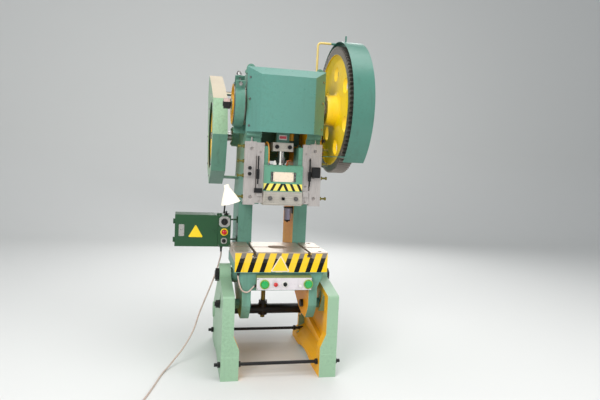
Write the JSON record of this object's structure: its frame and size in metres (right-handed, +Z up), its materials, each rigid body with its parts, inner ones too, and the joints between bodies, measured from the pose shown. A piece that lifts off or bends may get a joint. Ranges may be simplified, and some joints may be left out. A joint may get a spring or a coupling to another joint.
{
  "type": "mechanical stamping press",
  "caption": "Open-back inclinable crank press that stamps sheet-metal parts between a bolster and a guided slide, with geared flywheel drive, band brake and two-hand controls",
  "frame": {"origin": "On the floor, midway between the four anchor holes of the two legs", "axes": "+Z up, -Y is the operator's side at the front, +X runs to the large gear on the operator's right"},
  "size_m": [1.7779, 1.9692, 2.6292],
  "materials": {
    "casting_green": "semi-gloss machine enamel",
    "sheet_green": "painted sheet metal",
    "guard_green": "painted sheet metal",
    "cabinet_green": "painted sheet metal",
    "yellow_paint": "semi-gloss machine enamel",
    "machined_steel": "ground and oiled",
    "bright_steel": "turned",
    "black_steel": "blackened, oily",
    "brass_parts": "dull and oily",
    "bronze_bush": "bored bronze",
    "belt_rubber": "matt",
    "black_plastic": "matt",
    "grey_plastic": "matt",
    "red_plastic": "glossy",
    "signal_green": "glossy",
    "cable_sheath": "soft matt sheath",
    "shade_white": "painted sheet metal",
    "bulb_glass": "frosted glass",
    "panel_enamel": "painted sheet metal"
  },
  "bodies": {
    "base": {"left_leg": "casting_green", "right_leg": "casting_green", "tie_rods": "black_steel", "trunnion_pins": "black_steel"},
    "cross_tube": {"tilt_cross_tube": "black_steel"},
    "tilt_screw": {"tilt_screw": "brass_parts"},
    "frame": {"frame_casting": "casting_green", "tilt_clamp_bolts": "black_steel", "bolster_plate": "machined_steel", "bolster_bolts": "black_steel", "left_gib": "machined_steel", "right_gib": "machined_steel", "gib_screws": "brass_parts", "crank_bushes": "bronze_bush", "crank_cover": "sheet_green", "cover_screws": "bright_steel", "pinion_bearings": "casting_green", "flywheel_guard": "guard_green", "gear_guard": "sheet_green", "brake_band": "sheet_green", "brake_tension_rod": "bright_steel", "cam_switch": "black_plastic", "motor": "casting_green", "motor_plate": "casting_green", "drive_belts": "belt_rubber", "trip_housing": "yellow_paint", "control_panel": "panel_enamel", "panel_lead": "cable_sheath", "cabinet_box": "cabinet_green", "cable_gland": "black_plastic", "supply_cable": "cable_sheath", "cable_coil": "cable_sheath", "cable_plug": "black_plastic"},
    "crank": {"crankshaft": "machined_steel", "brake_drum": "yellow_paint"},
    "gear": {"large_gear": "yellow_paint"},
    "drive": {"pinion_shaft": "machined_steel", "flywheel": "yellow_paint"},
    "motor_rotor": {"motor_pulley": "black_steel"},
    "rod": {"connecting_rod": "casting_green", "rod_cap": "casting_green", "ball_screw": "bright_steel", "screw_clamp": "machined_steel"},
    "slide": {"slide": "casting_green", "shank_clamp": "machined_steel", "shank_clamp_nuts": "bright_steel", "overload_disc": "machined_steel"},
    "knockout": {"knockout_bar": "bright_steel"},
    "trip": {"trip_lever": "black_steel"},
    "start_left": {"start_button_left": "signal_green"},
    "start_right": {"start_button_right": "signal_green"},
    "stop": {"stop_button": "red_plastic"},
    "mode": {"mode_selector": "black_plastic"},
    "door": {"cabinet_door": "cabinet_green"},
    "main_rotary": {"main_switch": "black_plastic"},
    "emergency": {"emergency_button": "red_plastic"},
    "light_rotary": {"work_light_switch": "black_plastic"},
    "lamp_arm": {"lamp_arm": "black_steel"},
    "lamp_head": {"lamp_shade": "shade_white", "lamp_bulb": "bulb_glass"}
  },
  "joints": [
    {"name": "frame_tilt", "type": "hinge", "parent": "base", "child": "frame", "pos_m": [0, -0.045, 0.7], "axis": [-1, 0, 0], "range_deg": [0, 25]},
    {"name": "cross_tube_swivel", "type": "hinge", "parent": "base", "child": "cross_tube", "pos_m": [0, 0.42, 0.282], "axis": [1, 0, 0], "range_deg": [0, 10.79]},
    {"name": "tilt_screw_travel", "type": "slide", "parent": "cross_tube", "child": "tilt_screw", "axis": [0, 0.012, 0.9999], "range_m": [-0.19571, 0]},
    {"name": "crank_turn", "type": "hinge", "parent": "frame", "child": "crank", "pos_m": [0, -0.185, 2.055], "axis": [1, 0, 0], "range_deg": [0, 180]},
    {"name": "rod_swing", "type": "hinge", "parent": "crank", "child": "rod", "pos_m": [0, -0.185, 2.115], "axis": [1, 0, 0], "range_deg": [-180, 0]},
    {"name": "slide_travel", "type": "slide", "parent": "frame", "child": "slide", "axis": [0, 0, 1], "range_m": [-0.1201, 0]},
    {"name": "knockout_lift", "type": "slide", "parent": "slide", "child": "knockout", "axis": [0, 0, 1], "range_m": [0, 0.021]},
    {"name": "gear_spin", "type": "hinge", "parent": "frame", "child": "gear", "pos_m": [0, -0.185, 2.055], "axis": [1, 0, 0], "continuous": true},
    {"name": "drive_spin", "type": "hinge", "parent": "frame", "child": "drive", "pos_m": [0, 0.327, 1.8257], "axis": [1, 0, 0], "continuous": true},
    {"name": "motor_spin", "type": "hinge", "parent": "frame", "child": "motor_rotor", "pos_m": [0, 0.755, 2.235], "axis": [1, 0, 0], "continuous": true},
    {"name": "trip_swing", "type": "hinge", "parent": "frame", "child": "trip", "pos_m": [0.3155, -0.209, 1.806], "axis": [1, 0, 0], "range_deg": [0, 7], "stiffness_Nm_per_rad": 60, "springref_deg": -5.73},
    {"name": "start_left_press", "type": "slide", "parent": "frame", "child": "start_left", "axis": [0, 1, 0], "range_m": [0, 0.006], "stiffness_N_per_m": 600, "springref_m": -0.003},
    {"name": "start_right_press", "type": "slide", "parent": "frame", "child": "start_right", "axis": [0, 1, 0], "range_m": [0, 0.006], "stiffness_N_per_m": 600, "springref_m": -0.003},
    {"name": "stop_press", "type": "slide", "parent": "frame", "child": "stop", "axis": [0, 1, 0], "range_m": [0, 0.006], "stiffness_N_per_m": 600, "springref_m": -0.003},
    {"name": "mode_turn", "type": "hinge", "parent": "frame", "child": "mode", "pos_m": [0.026, -0.447, 0.714], "axis": [0, 1, 0], "range_deg": [-45, 45]},
    {"name": "door_swing", "type": "hinge", "parent": "frame", "child": "door", "pos_m": [-0.808, 0.008, 1.04], "axis": [0, 0, -1], "range_deg": [0, 110]},
    {"name": "main_switch_turn", "type": "hinge", "parent": "frame", "child": "main_rotary", "pos_m": [-0.408, -0.001, 1.124], "axis": [0, 1, 0], "range_deg": [0, 90]},
    {"name": "emergency_press", "type": "slide", "parent": "frame", "child": "emergency", "axis": [0, 1, 0], "range_m": [0, 0.005], "stiffness_N_per_m": 600, "springref_m": -0.003},
    {"name": "work_light_turn", "type": "hinge", "parent": "frame", "child": "light_rotary", "pos_m": [-0.408, -0.001, 0.968], "axis": [0, 1, 0], "range_deg": [0, 60]},
    {"name": "lamp_arm_swing", "type": "hinge", "parent": "frame", "child": "lamp_arm", "pos_m": [-0.392, 0.041, 1.176], "axis": [0, 0, -1], "range_deg": [-4, 45]},
    {"name": "lamp_shade_tilt", "type": "hinge", "parent": "lamp_arm", "child": "lamp_head", "pos_m": [-0.432, -0.385, 1.426], "axis": [0, 1, 0], "range_deg": [-14, 30]}
  ],
  "couplings": [
    {"joint": "cross_tube_swivel", "follows": "frame_tilt", "ratio": 0.43101},
    {"joint": "tilt_screw_travel", "follows": "frame_tilt", "m_per_rad": -0.4474},
    {"joint": "rod_swing", "follows": "crank_turn", "ratio": -1},
    {"joint": "slide_travel", "follows": "crank_turn", "m_per_rad": -0.038197},
    {"joint": "drive_spin", "follows": "gear_spin", "ratio": -6.2857},
    {"joint": "motor_spin", "follows": "gear_spin", "ratio": -26.992}
  ]
}
